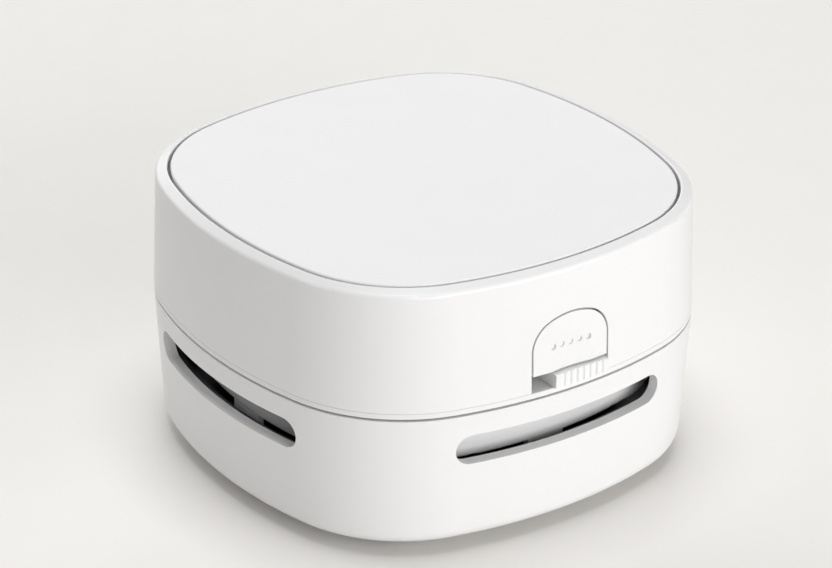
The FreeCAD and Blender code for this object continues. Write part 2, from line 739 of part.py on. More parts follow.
def make_rollers():
    half = size("roller_width") / 2
    bore = size("roller_pin_radius") + size("running_gap")
    height = size("roller_radius")
    pins = []
    names = ("roller_front_left", "roller_front_right", "roller_rear_right", "roller_rear_left")
    for name, (side, end) in zip(names, CORNERS):
        x = roller_offset * side
        y = roller_offset * end
        tyre = cylinder(f"{name}_disc", size("roller_radius"), half * 2,
                        (x - half, y, height), ALONG_X)
        hole = cylinder(f"{name}_bore", bore, half * 2, (x - half, y, height), ALONG_X)
        keep(cut(f"{name}_solid", tyre, [hole]), name)
        reach = size("roller_pin_length") / 2
        pins.append(cylinder(f"{name}_pin", size("roller_pin_radius"), reach * 2,
                             (x - reach, y, height), ALONG_X))
    keep(group("pins", pins), "roller_pins")


# Suction inlet with its brush

def inlet_collar_length():
    return size("inlet_length") + size("inlet_wall") * 2


def inlet_collar_width():
    return size("inlet_width") + size("inlet_wall") * 2


def make_inlet_frame():
    body = new_body("inlet_frame_body")
    lip = size("brush_lip") * 2
    plate = new_sketch(body, "brush_plate_slot", "XY_Plane", ground - size("brush_frame_depth"))
    add_slot(plate, ZERO, ZERO, inlet_collar_length() + lip, inlet_collar_width() + lip)
    pad(body, "brush_plate", plate, size("brush_frame_depth"))
    collar = new_sketch(body, "collar_slot", "XY_Plane", ground - size("brush_frame_depth"))
    add_slot(collar, ZERO, ZERO, inlet_collar_length(), inlet_collar_width())
    pad(body, "collar", collar, size("brush_frame_depth") + size("shell_floor"))
    hole = new_sketch(body, "passage_slot", "XY_Plane", shell_floor_top)
    add_slot(hole, ZERO, ZERO, size("inlet_length"), size("inlet_width"))
    pocket(body, "passage", hole, size("shell_floor") + size("brush_frame_depth"))
    sockets = new_sketch(body, "tuft_circles", "XY_Plane", tuft_root())
    for x, y in tuft_spots():
        add_circle(sockets, x, y, size("tuft_radius"))
    pocket(body, "tuft_sockets", sockets, size("tuft_grip"))
    keep(body, "inlet_frame")


def tuft_root():
    return ground - size("brush_frame_depth") + size("tuft_grip")


def tuft_spots():
    """Tufts along a slot-shaped line in the middle of the brush frame."""
    radius = (inlet_collar_width() + size("brush_lip")) / 2
    run = (inlet_collar_length() - inlet_collar_width()) / 2
    along = count("tufts_per_side")
    around = count("tufts_per_end")
    spots = []
    for side in SIDES:
        for index in range(along):
            spots.append((run * (2 * index / (along - 1) - 1), radius * side))
        for index in range(1, around + 1):
            angle = math.pi * index / (around + 1) - math.pi / 2
            spots.append(((run + radius * math.cos(angle)) * side, radius * math.sin(angle)))
    return spots


def make_bristles():
    start = tuft_root() - size("tuft_length")
    tufts = [cylinder(f"tuft_{index}", size("tuft_radius"), size("tuft_length"), (x, y, start))
             for index, (x, y) in enumerate(tuft_spots())]
    keep(group("tufts", tufts), "brush_bristles")


# Dust cup and its inlet chimney

def make_dust_cup():
    body = new_body("dust_cup_body")
    low = size("trough_height")
    plate_top = low + size("trough_wall")
    skirt_top = size("skirt_height")
    seam = half_width - floor_lap
    outside_low = shell_inside(low) - size("fit_gap")
    outside_high = shell_inside(skirt_top) - size("fit_gap")
    sweep_round(body, "skirt_sweep", (
        (outside_low, low),
        (outside_high, skirt_top),
        (outside_high - size("trough_wall"), skirt_top),
        (outside_low - size("trough_wall"), plate_top),
        (seam, plate_top),
        (seam, low),
    ))
    slab(body, "trough_plate", low, size("trough_wall"), floor_lap - overlap)
    inner = cup_radius - size("cup_wall")
    bore = new_sketch(body, "cup_bore_circle", "XY_Plane", plate_top)
    add_circle(bore, ZERO, ZERO, inner)
    pocket(body, "cup_bore", bore, size("trough_wall"))
    floor_top = shell_floor_top + size("cup_wall")
    profile = section(body, "cup_section", (
        (ZERO, shell_floor_top),
        (cup_radius, shell_floor_top),
        (cup_radius, size("cup_rim_height")),
        (inner, size("cup_rim_height")),
        (inner, floor_top, size("inside_round")),
        (ZERO, floor_top),
    ))
    feature = body.newObject("PartDesign::Revolution", "cup_turn")
    feature.Profile = profile
    feature.ReferenceAxis = (profile, ["V_Axis"])
    feature.Angle = 360
    hole = new_sketch(body, "cup_inlet_slot", "XY_Plane", floor_top)
    add_slot(hole, ZERO, ZERO, size("inlet_length"), size("inlet_width"))
    pocket(body, "cup_inlet", hole, size("cup_wall"))
    keep(body, "dust_cup")


def make_chimney():
    body = new_body("inlet_chimney_body")
    low = shell_floor_top + size("cup_wall")
    height = size("chimney_height") - low
    outside = new_sketch(body, "chimney_outside_slot", "XY_Plane", low)
    add_slot(outside, ZERO, ZERO, inlet_collar_length(), inlet_collar_width())
    pad(body, "chimney_wall", outside, height)
    inside = new_sketch(body, "chimney_inside_slot", "XY_Plane", size("chimney_height"))
    add_slot(inside, ZERO, ZERO, size("inlet_length"), size("inlet_width"))
    pocket(body, "chimney_passage", inside, height)
    keep(body, "inlet_chimney")


# Filter

def make_filter():
    rim = size("cup_rim_height")
    inner = cup_radius - size("cup_wall")
    keep(ring("cup_seal_ring", inner, cup_radius, rim, size("seal_thickness")),
         "cup_seal")
    under = rim + size("seal_thickness")
    top = under + size("filter_flange")
    spigot = inner - size("plug_gap")
    spigot_inner = spigot - size("filter_spigot_wall")
    spigot_low = under - size("filter_spigot_depth")
    frame = turned("filter_flange_ring", (
        (filter_opening, under),
        (spigot_inner, under),
        (spigot_inner, spigot_low),
        (spigot, spigot_low),
        (spigot, under),
        (cup_radius, under),
        (cup_radius, top),
        (filter_opening, top),
    ))
    reach = filter_opening + overlap
    rib = size("filter_rib")
    flange = size("filter_flange")
    rib_x = box("filter_rib_x", (-reach, -rib / 2, under), (reach * 2, rib, flange))
    rib_y = box("filter_rib_y", (-rib / 2, -reach, under), (rib, reach * 2, flange))
    hub = cylinder("filter_hub_disc", size("filter_hub"), flange, (ZERO, ZERO, under))
    keep(fuse("filter_frame_solid", [frame, rib_x, rib_y, hub]), "filter_frame")
    mesh_low = under - size("mesh_thickness")
    keep(cylinder("filter_mesh_disc", mesh_radius, size("mesh_thickness"),
                  (ZERO, ZERO, mesh_low)), "filter_mesh")
    keep(ring("clamp_ring", filter_opening, spigot_inner,
              mesh_low - size("clamp_thickness"), size("clamp_thickness")), "filter_clamp")


# Fan shroud, lower plate and gasket

def make_fan_shroud():
    body = new_body("fan_shroud_body")
    low = size("drum_bottom")
    wall = size("drum_wall")
    flange = size("drum_flange")
    sweep_round(body, "shroud_wall_sweep", (
        (drum_radius, low, size("drum_round")),
        (drum_radius, band_bottom),
        (drum_radius - wall, band_bottom),
        (drum_radius - wall, low),
    ))
    slab(body, "shroud_flange", band_bottom - flange, flange, size("drum_inset") + wall / 2)
    aprons = new_sketch(body, "apron_outlines", "XY_Plane", low - size("apron_depth"))
    half = size("apron_width") / 2
    face = drum_radius - size("apron_setback")
    back = drum_radius - wall
    add_rectangle(aprons, (-half, -face), (half, -back))
    add_rectangle(aprons, (-half, back), (half, face))
    add_rectangle(aprons, (-face, -half), (-back, half))
    add_rectangle(aprons, (back, -half), (face, half))
    pad(body, "aprons", aprons, size("apron_depth") + overlap * 2)
    holes = new_sketch(body, "shroud_hole_circles", "XY_Plane", band_bottom)
    add_circle(holes, ZERO, ZERO, drum_radius - size("drum_flange_width"))
    for x, y in shroud_screw_spots():
        add_circle(holes, x, y, size("screw_radius"))
    for x, y in CORNERS:
        add_circle(holes, screw_offset * x, screw_offset * y,
                   size("screw_head_radius") + size("fit_gap"))
    pocket(body, "shroud_holes", holes, flange)
    reliefs = new_sketch(body, "leg_relief_outlines", "XY_Plane", band_bottom)
    front = -(drum_radius + overlap)
    rear = (-(half_width - size("leg_setback")) + size("fork_thickness")
            + size("button_travel") + size("fit_gap"))
    for side in SIDES:
        near, far = leg_span(side)
        add_rectangle(reliefs, (near, front), (far, rear))
    pocket(body, "leg_reliefs", reliefs,
           band_bottom - size("leg_bottom") + size("fit_gap"))
    keep(body, "fan_shroud")


SHROUD_SCREW_ANGLES = (10, 170, 234, 306)


def shroud_screw_spots():
    circle = plate_radius
    return [(circle * math.cos(math.radians(angle)), circle * math.sin(math.radians(angle)))
            for angle in SHROUD_SCREW_ANGLES]


POST_ANGLES = (45, 135, 225, 315)


def post_spots():
    circle = post_circle
    return [(circle * math.cos(math.radians(angle)), circle * math.sin(math.radians(angle)))
            for angle in POST_ANGLES]


def make_fan_plate():
    low = size("drum_bottom")
    plate_top = low + size("plate_thickness")
    plate = ring("fan_plate_disc", size("plate_eye"), plate_radius, low,
                 size("plate_thickness"))
    post_height = band_bottom - size("drum_flange") - plate_top + overlap
    solids = [plate]
    for index, (x, y) in enumerate(post_spots()):
        solids.append(cylinder(f"fan_post_{index}", size("post_radius"), post_height,
                               (x, y, plate_top - overlap)))
    keep(fuse("fan_plate_solid", solids), "fan_plate")
    gasket_low = (size("cup_rim_height") + size("seal_thickness") + size("filter_flange")
                  + size("fit_gap"))
    keep(ring("inlet_gasket_ring", mesh_radius - size("gasket_width"), mesh_radius, gasket_low,
              low - gasket_low), "inlet_gasket")


# Impeller, shaft and motor

def make_impeller():
    low = size("drum_bottom") + size("plate_thickness") + size("impeller_gap")
    top = band_bottom - size("impeller_headroom")
    disc_low = top - size("impeller_disc")
    body = turned("impeller_body", (
        (size("shaft_radius"), low),
        (size("impeller_hub"), low),
        (size("impeller_hub"), disc_low),
        (impeller_radius, disc_low),
        (impeller_radius, top),
        (size("shaft_radius"), top),
    ))
    half = size("blade_thickness") / 2
    sketch = new_sketch(body, "blade_outline", "XY_Plane", low)
    add_rectangle(sketch, (size("blade_inner"), -half),
                  (impeller_radius - size("fit_gap"), half))
    blade = pad(body, "blade", sketch, disc_low - low + size("impeller_disc") / 2)
    doc.recompute()
    blades = body.newObject("PartDesign::PolarPattern", "blades")
    blades.Originals = [blade]
    blades.Axis = (sketch, ["N_Axis"])
    blades.Angle = 360
    bind(blades, {"Occurrences": size("blade_count")})
    body.Tip = blades
    keep(body, "impeller")


def make_motor():
    floor = motor_floor
    face_top = floor + size("motor_face")
    can_top = floor + motor_length
    inner = motor_radius - size("motor_wall")
    keep(ring("cushion_ring", motor_radius * size("cushion_share"), motor_radius, band_top,
              size("cushion_thickness")), "motor_cushion")
    can = turned("motor_can_cup", (
        (bushing_radius, floor),
        (motor_radius, floor),
        (motor_radius, can_top),
        (inner, can_top),
        (inner, face_top),
        (bushing_radius, face_top),
    ))
    holes = [cylinder(f"motor_hole_{index}", size("screw_radius"), size("motor_face"),
                      (motor_screw_offset * side, ZERO, floor))
             for index, side in enumerate(SIDES)]
    keep(cut("motor_can_solid", can, holes), "motor_can")
    turning = size("shaft_radius") + size("running_gap")
    keep(ring("bushing_ring", turning, bushing_radius, floor, size("bushing_length")),
         "motor_bushing")
    armature_low = floor + size("bushing_length") + size("armature_gap")
    magnet_inner = motor_radius * size("magnet_share")
    keep(ring("armature_ring", size("shaft_radius"), magnet_inner - size("armature_air_gap"),
              armature_low, can_top - armature_low - size("armature_end_gap")), "motor_armature")
    shaft_low = size("drum_bottom") + size("plate_thickness") + size("impeller_gap")
    shaft_top = can_top + size("shaft_in_cap")
    keep(cylinder("shaft_rod", size("shaft_radius"), shaft_top - shaft_low,
                  (ZERO, ZERO, shaft_low)), "motor_shaft")
    make_magnets(armature_low, can_top - armature_low - size("magnet_end_gap"), magnet_inner, inner)
    cap = cylinder("cap_disc", motor_radius, size("cap_thickness"),
                   (ZERO, ZERO, can_top))
    bore = cylinder("cap_bore", turning, size("shaft_in_cap") + size("running_gap"),
                    (ZERO, ZERO, can_top))
    keep(cut("motor_end_cap_solid", cap, [bore]), "motor_end_cap")
    cap_top = can_top + size("cap_thickness")
    tab = size("tab_thickness")
    spread = motor_radius * size("terminal_share")
    terminals = [box(f"terminal_{index}", (spread * side - tab * 2, -tab / 2, cap_top),
                     (tab * 4, tab, size("terminal_height")))
                 for index, side in enumerate(SIDES)]
    keep(group("terminals", terminals), "motor_terminals")
    screws = [screw(f"motor_screw_{index}", motor_screw_offset * side, ZERO,
                    band_bottom, size("motor_screw_length"))
              for index, side in enumerate(SIDES)]
    keep(group("motor_screw_pair", screws), "motor_screws")


def make_magnets(low, length, inner, outer):
    split = size("magnet_split")
    tube = ring("magnet_ring", inner, outer, low, length)
    slot = box("magnet_slot", (-outer - overlap, -split / 2, low),
               ((outer + overlap) * 2, split, length))
    keep(cut("magnet_pair", tube, [slot]), "motor_magnets")


# Chassis

def make_chassis():
    body = new_body("chassis_body")
    seam = half_width - floor_lap
    skirt_low = band_bottom - size("plug_depth")
    outside = shell_inside(band_bottom) - size("plug_gap")
    outside_low = shell_inside(skirt_low) - size("plug_gap")
    sweep_round(body, "band_sweep", (
        (half_width, band_bottom, size("seam_round")),
        (half_width, band_top),
        (seam, band_top),
        (seam, band_bottom),
        (outside - size("plug_wall"), band_bottom),
        (outside_low - size("plug_wall"), skirt_low),
        (outside_low, skirt_low),
        (outside, band_bottom),
    ))
    slab(body, "deck", band_bottom, size("band_height"), floor_lap - overlap)
    bosses = new_sketch(body, "shroud_boss_circles", "XY_Plane", band_top - overlap / 2)
    for x, y in shroud_screw_spots():
        add_circle(bosses, x, y, size("post_radius") + size("tab_thickness"))
    pad(body, "shroud_bosses", bosses, size("shroud_boss_height") + overlap / 2)
    posts = new_sketch(body, "board_post_circles", "XY_Plane", band_top - overlap / 2)
    for side in SIDES:
        add_circle(posts, size("standoff_offset") * side, board_middle(),
                   size("standoff_radius"))
    pad(body, "board_posts", posts, size("board_lift") + overlap / 2)
    add_chassis_holes(body)
    keep(body, "chassis")


def board_middle():
    return board_rear - size("board_depth") / 2


def add_chassis_holes(body):
    deep = band_top + size("shroud_boss_height") - band_bottom
    pilots = new_sketch(body, "pilot_circles", "XY_Plane", band_bottom)
    for x, y in shroud_screw_spots():
        add_circle(pilots, x, y, size("screw_radius"))
    pilot_depth = size("screw_length") - size("drum_flange")
    pocket(body, "pilot_holes", pilots, pilot_depth, reverse=True)
    through = new_sketch(body, "deck_hole_circles", "XY_Plane", band_top)
    add_circle(through, ZERO, ZERO, bushing_radius)
    for side in SIDES:
        add_circle(through, motor_screw_offset * side, ZERO, size("screw_radius"))
    for x, y in CORNERS:
        add_circle(through, screw_offset * x, screw_offset * y,
                   size("screw_radius"))
    pocket(body, "deck_holes", through, size("band_height"))
    slots = new_sketch(body, "leg_slot_outlines", "XY_Plane", band_top)
    room = size("slot_room")
    front = -(half_width - size("leg_setback")) - room
    rear = (-(half_width - size("leg_setback")) + size("fork_thickness")
            + size("button_travel") + room)
    for side in SIDES:
        low, high = leg_span(side)
        add_rectangle(slots, (low, front), (high, rear))
    pocket(body, "leg_slots", slots, size("band_height"))
    windows = new_sketch(body, "nose_window_outlines", "XZ_Plane", half_width - floor_lap / 2)
    skirt_low = band_bottom - size("plug_depth")
    for side in SIDES:
        low, high = leg_span(side)
        add_rectangle(windows, (low, skirt_low - overlap), (high, nose_top() + room))
    pocket(body, "nose_windows", windows, floor_lap, reverse=True)


def nose_top():
    return size("leg_bottom") + size("nose_height")


# Upper housing and top panel

def make_upper_housing():
    body = new_body("upper_housing_body")
    seam = half_width - floor_lap
    crest = half_width - size("housing_taper")
    rim = half_width - size("rim_width")
    wall = size("housing_wall")
    sweep_round(body, "housing_sweep", (
        (half_width, housing_bottom),
        (crest, size("top_height") - size("rim_drop"), size("edge_round")),
        (rim, size("top_height"), size("lip_round")),
        (rim, recess_floor),
        (seam, recess_floor),
        (seam, roof_underside),
        (crest - wall, roof_underside, size("inside_round")),
        (half_width - wall, housing_bottom),
    ))
    slab(body, "roof", roof_underside, size("roof_thickness"), floor_lap - overlap)
    bosses = new_sketch(body, "boss_circles", "XY_Plane", housing_bottom)
    pilots = new_sketch(body, "boss_pilot_circles", "XY_Plane", housing_bottom)
    for x, y in CORNERS:
        spot = (screw_offset * x, screw_offset * y)
        add_circle(bosses, *spot, size("boss_radius"))
        add_circle(pilots, *spot, size("screw_radius"))
    boss_height = roof_underside - housing_bottom + size("roof_thickness") / 2
    pad(body, "bosses", bosses, boss_height)
    pocket(body, "boss_pilots", pilots, size("screw_length"), reverse=True)
    window = new_sketch(body, "button_window_arch", "XZ_Plane", half_width - floor_lap / 2)
    add_arch(window, size("button_gap"), housing_bottom - overlap)
    pocket(body, "button_window", window, floor_lap, reverse=True)
    rear = -(half_width - floor_lap / 2)
    port = new_sketch(body, "port_slot", "XZ_Plane", rear)
    gap = size("socket_gap") * 2
    add_slot(port, ZERO, socket_middle(), size("socket_width") + gap,
             size("socket_height") + gap)
    pocket(body, "port", port, floor_lap)
    lamp = new_sketch(body, "lamp_circle", "XZ_Plane", rear)
    add_circle(lamp, size("lamp_offset"), socket_middle(), size("lamp_radius"))
    pocket(body, "lamp_hole", lamp, floor_lap)
    keep(body, "upper_housing")


def make_top_panel():
    body = new_body("top_panel_body")
    edge = half_width - size("rim_width") - size("panel_gap")
    seam = half_width - floor_lap
    low = size("top_height") - size("panel_thickness")
    sweep_round(body, "panel_sweep", (
        (edge, low),
        (edge, size("top_height"), size("panel_edge")),
        (seam, size("top_height")),
        (seam, low),
    ))
    slab(body, "panel_middle", low, size("panel_thickness"), floor_lap - overlap)
    keep(body, "top_panel")
    bond = new_body("panel_bond_body")
    inset = size("rim_width") + size("panel_gap") + size("bond_inset")
    slab(bond, "bond_film", recess_floor, size("bond_thickness"), inset)
    keep(bond, "panel_bond")


# Release button with its latch fork and spring

def make_release_button():
    form = new_body("housing_form")
    bottom_outline = outline(form, "form_bottom", housing_bottom)
    top_outline = outline(form, "form_top", size("top_height") - size("rim_drop"),
                          size("housing_taper"))
    loft = form.newObject("PartDesign::AdditiveLoft", "form_loft")
    loft.Profile = bottom_outline
    loft.Sections = [top_outline]
    loft.Ruled = True
    arch_body = new_body("button_arch")
    back = half_width - size("button_depth")
    sketch = new_sketch(arch_body, "button_arch_outline", "XZ_Plane", back)
    add_arch(sketch, ZERO, size("button_bottom"))
    pad(arch_body, "button_block", sketch, size("button_depth") + overlap)
    blank = doc.addObject("Part::MultiCommon", "button_blank")
    blank.Shapes = [arch_body, form]
    dimple = size("dimple_radius")
    depth = size("dimple_depth")
    ball_radius = (dimple * dimple + depth * depth) / (depth * 2)
    ball = doc.addObject("Part::Sphere", "dimple_ball")
    bind(ball, {"Radius": ball_radius})
    face = housing_face(size("dimple_height"))
    place(ball, ZERO, -face - ball_radius + depth, size("dimple_height"))
    tools = [ball]
    marks = count("mark_count")
    for index in range(marks):
        x = size("mark_pitch") * (index - (marks - 1) / 2)
        start = -(face - size("mark_depth") - depth)
        tools.append(cylinder(f"pip_{index}", size("mark_radius"), overlap * 2,
                              (x, start - overlap * 2, size("mark_height")), ALONG_Y))
    keep(cut("release_button_solid", blank, tools), "release_button")


def housing_face(height):
    """Half the outside width of the upper housing at a height."""
    share = (height - housing_bottom) / (size("top_height") - size("rim_drop") - housing_bottom)
    return half_width - size("housing_taper") * share


def fork_front():
    return -(half_width - size("button_depth"))


def make_latch_fork():
    thick = size("fork_thickness")
    low = size("button_bottom")
    plate = new_body("fork_plate")
    arch = new_sketch(plate, "fork_plate_arch", "XZ_Plane", -fork_front())
    add_arch(arch, size("fork_lip"), low)
    pad(plate, "fork_plate_pad", arch, thick, reverse=True)
    solids = [plate]
    leg_front = -(half_width - size("leg_setback"))
    leg_back = leg_front + thick
    for index, side in enumerate(SIDES):
        x = size("leg_inner") * side if side > 0 else -(size("leg_inner") + size("leg_width"))
        inner_x = x - overlap * 2 if side > 0 else x
        solids.append(box(f"fork_shoulder_{index}", (inner_x, fork_front(), low),
                          (size("leg_width") + overlap * 2, leg_back - fork_front(),
                           size("leg_shoulder") - low)))
        solids.append(box(f"fork_leg_{index}", (x, leg_front, size("leg_bottom")),
                          (size("leg_width"), thick, size("leg_shoulder") - size("leg_bottom"))))
        solids.append(box(f"fork_nose_{index}",
                          (x, leg_front - size("nose_reach"), size("leg_bottom")),
                          (size("leg_width"), size("nose_reach") + thick / 2,
                           size("nose_height"))))
    keep(fuse("latch_fork_solid", solids), "latch_fork")


def bracket_front():
    return fork_front() + size("fork_thickness") + size("bracket_gap")


def make_spring_bracket():
    half = size("bracket_half_width")
    thick = size("bracket_thickness")
    bar = size("bracket_bar")
    solids = [box("bracket_bar_box", (-half, bracket_front(), size("bracket_top") - bar),
                  (half * 2, thick, bar))]
    post = size("bracket_post")
    for index, side in enumerate(SIDES):
        x = half * side if side < 0 else half - post
        solids.append(box(f"bracket_post_{index}", (x, bracket_front(), band_top),
                          (post, thick, size("bracket_top") - band_top)))
    keep(fuse("spring_bracket_solid", solids), "spring_bracket")


def make_button_spring():
    """A bowed strip whose ends rest on the bracket and whose crown nearly meets the fork."""
    body = new_body("button_spring_body")
    low = size("bracket_top") - (size("bracket_bar") + size("spring_height")) / 2
    sketch = new_sketch(body, "spring_strip", "XY_Plane", low)
    thick = size("spring_thickness")
    inside_crown = fork_front() + size("fork_thickness") + size("spring_clearance") + thick
    rise = bracket_front() - inside_crown
    span = size("spring_half_span")
    inner = (span * span + rise * rise) / (rise * 2)
    radius = inner + thick
    middle = inside_crown + inner
    lean = math.asin(span.value / radius.value)
    upright = -math.pi / 2
    outer_arc = add_arc(sketch, (0, middle.value), radius.value, upright - lean, upright + lean)
    inner_lean = math.asin(span.value / inner.value)
    inner_arc = add_arc(sketch, (0, middle.value), inner.value, upright - inner_lean,
                        upright + inner_lean)
    ends = []
    for side, end in ((-1, 1), (1, 2)):
        outer_y = middle.value - radius.value * math.cos(lean)
        inner_y = middle.value - inner.value * math.cos(inner_lean)
        x = span.value * side
        line = add_line(sketch, (x, outer_y), (x, inner_y))
        tie(sketch, "Coincident", line, 1, outer_arc, end)
        tie(sketch, "Coincident", line, 2, inner_arc, end)
        tie(sketch, "Vertical", line)
        ends.append(line)
    tie(sketch, "Coincident", outer_arc, 3, inner_arc, 3)
    pin_point(sketch, outer_arc, 3, ZERO, middle)
    hold(sketch, "Radius", outer_arc, radius)
    hold(sketch, "Radius", inner_arc, inner)
    hold(sketch, "DistanceX", -1, 1, ends[0], 1, -span)
    hold(sketch, "DistanceX", -1, 1, ends[1], 1, span)
    pad(body, "spring_leaf", sketch, size("spring_height"))
    keep(body, "button_spring")


# Slide switch with its knob

def make_switch():
    knob_low = band_top + size("knob_lift")
    knob_top = knob_low + size("knob_height")
    front = -(half_width + size("knob_reach"))
    back = front + size("knob_depth")
    left = size("knob_left")
    body = new_body("knob_body")
    side = section(body, "knob_side", (
        (front, knob_low, size("knob_round")),
        (back, knob_low),
        (back, knob_top),
        (front, knob_top, size("knob_round")),
    ), "YZ_Plane", left)
    pad(body, "knob_block", side, size("knob_length"))
    grooves = count("groove_count")
    margin = (size("knob_length") - size("groove_pitch") * (grooves - 1)) / 2
    tools = []
    for index in range(grooves):
        x = left + margin + size("groove_pitch") * index
        tools.append(cylinder(f"knob_groove_{index}", size("groove_radius"),
                              size("knob_height") + overlap * 2,
                              (x, front - size("groove_radius") + size("groove_depth"),
                               knob_low - overlap)))
    knob_middle = left + size("knob_length") / 2
    lever_low = knob_low + (size("knob_height") - size("lever_height")) / 2
    lever_front = back - size("lever_in_knob")
    switch_front = -(half_width - size("switch_setback"))
    lever_length = switch_front + size("lever_in_switch") - lever_front
    lever_left = knob_middle - size("lever_width") / 2
    tools.append(box("knob_socket", (lever_left, lever_front, lever_low),
                     (size("lever_width"), size("lever_in_knob"), size("lever_height"))))
    keep(cut("switch_knob_solid", body, tools), "switch_knob")
    keep(box("switch_lever_box", (lever_left, lever_front, lever_low),
             (size("lever_width"), lever_length, size("lever_height"))), "switch_lever")
    travel = size("knob_travel")
    middle = knob_middle - travel / 2
    case = box("switch_case", (middle - size("switch_length") / 2, switch_front, band_top),
               (size("switch_length"), size("switch_depth"), size("switch_height")))
    room = size("fit_gap")
    window = box("switch_window", (lever_left - travel - room, switch_front, lever_low - room),
                 (size("lever_width") + travel + room * 2, size("lever_in_switch") + room,
                  size("lever_height") + room * 2))
    keep(cut("slide_switch_solid", case, [window]), "slide_switch")


# Battery, board, charging socket and lamp

def cell_height():
    return band_top + size("cell_lift") + cell_radius


def make_battery():
    length = cell_length
    y = cell_back
    keep(cylinder("cell_tube", cell_radius, length, (-length / 2, y, cell_height()),
                  ALONG_X), "battery_cell")
    half = cell_radius - size("saddle_margin")
    spread = length / 2 - size("saddle_inset")
    reach = spread + size("saddle_length") / 2
    solids = [box("saddle_base", (-reach, y - half, band_top),
                  (reach * 2, half * 2, size("cell_lift") / 2))]
    for index, side in enumerate(SIDES):
        x = spread * side - size("saddle_length") / 2
        solids.append(box(f"saddle_{index}", (x, y - half, band_top),
                          (size("saddle_length"), half * 2, size("saddle_height"))))
    hollow = cylinder("saddle_hollow", cell_radius, length,
                      (-length / 2, y, cell_height()), ALONG_X)
    keep(cut("battery_cradle_solid", fuse("saddles", solids), [hollow]), "battery_cradle")
    thick = size("tab_thickness")
    tabs = [cylinder("tab_left", size("tab_radius"), thick,
                     (-length / 2 - thick, y, cell_height()), ALONG_X),
            cylinder("tab_right", size("tab_radius"), thick,
                     (length / 2, y, cell_height()), ALONG_X)]
    keep(group("tab_pair", tabs), "battery_tabs")


def board_top():
    return band_top + size("board_lift") + size("board_thickness")


def socket_middle():
    return board_top() + size("socket_height") / 2


def make_electronics():
    width = size("board_width")
    keep(box("board_plate", (-width / 2, board_rear - size("board_depth"),
                             band_top + size("board_lift")),
             (width, size("board_depth"), size("board_thickness"))), "circuit_board")
    mouth = half_width - size("socket_recess")
    back = mouth - size("socket_length")
    body = new_body("charging_socket_body")
    outside = new_sketch(body, "socket_outside", "XZ_Plane", -mouth)
    add_slot(outside, ZERO, socket_middle(), size("socket_width"), size("socket_height"))
    pad(body, "socket_shell", outside, size("socket_length"))
    inside = new_sketch(body, "socket_inside", "XZ_Plane", -(back + overlap))
    wall = size("socket_wall") * 2
    add_slot(inside, ZERO, socket_middle(), size("socket_width") - wall,
             size("socket_height") - wall)
    pocket(body, "socket_cavity", inside, size("socket_length") - overlap)
    tongue = new_sketch(body, "tongue_outline", "XZ_Plane", -(mouth - overlap))
    half = size("tongue_width") / 2
    rise = size("tongue_height") / 2
    add_rectangle(tongue, (-half, socket_middle() - rise), (half, socket_middle() + rise))
    pad(body, "tongue", tongue, size("socket_length") - overlap * 1.5)
    keep(body, "charging_socket")
    lamp_end = housing_face(socket_middle()) - size("fit_gap") * 3
    keep(cylinder("lamp_rod", size("lamp_radius"), size("lamp_length"),
                  (size("lamp_offset"), lamp_end - size("lamp_length"), socket_middle()),
                  ALONG_Y), "charge_lamp")


# Screws

def make_screws():
    corner = screw_offset
    screws = [screw(f"housing_screw_{index}", corner * x, corner * y, band_bottom,
                    size("screw_length")) for index, (x, y) in enumerate(CORNERS)]
    keep(group("housing_screw_set", screws), "housing_screws")
    under = band_bottom - size("drum_flange")
    screws = [screw(f"shroud_screw_{index}", x, y, under, size("screw_length"))
              for index, (x, y) in enumerate(shroud_screw_spots())]
    keep(group("shroud_screw_set", screws), "shroud_screws")


make_lower_shell()
make_rollers()
make_inlet_frame()
make_bristles()
make_dust_cup()
make_chimney()
make_filter()
make_fan_shroud()
make_fan_plate()
make_impeller()
make_motor()
make_chassis()
make_upper_housing()
make_top_panel()
make_release_button()
make_latch_fork()
make_spring_bracket()
make_button_spring()
make_switch()
make_battery()
make_electronics()
make_screws()
doc.recompute()

faults = [f"{item.Label}: {item.State}" for item in doc.Objects
          if "Invalid" in item.State or "Error" in item.State]
for node in nodes:
    if node.Shape.isNull() or not node.Shape.isValid():
        faults.append(f"{node.Label}: no valid shape")
if faults:
    raise RuntimeError("; ".join(faults))

os.makedirs("parts", exist_ok=True)
for node in nodes:
    node.Shape.exportStep(os.path.join("parts", f"{node.Label}.step"))
    bounds = node.Shape.BoundBox
    print(f"{node.Label}: {len(node.Shape.Solids)} solids, {node.Shape.Volume:.1f} mm3, "
          f"x {bounds.XMin:.2f} {bounds.XMax:.2f}, y {bounds.YMin:.2f} {bounds.YMax:.2f}, "
          f"z {bounds.ZMin:.2f} {bounds.ZMax:.2f}")
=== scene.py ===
import json
import math

import bmesh
import bpy
from mathutils import Matrix, Vector
from mathutils.geometry import convex_hull_2d


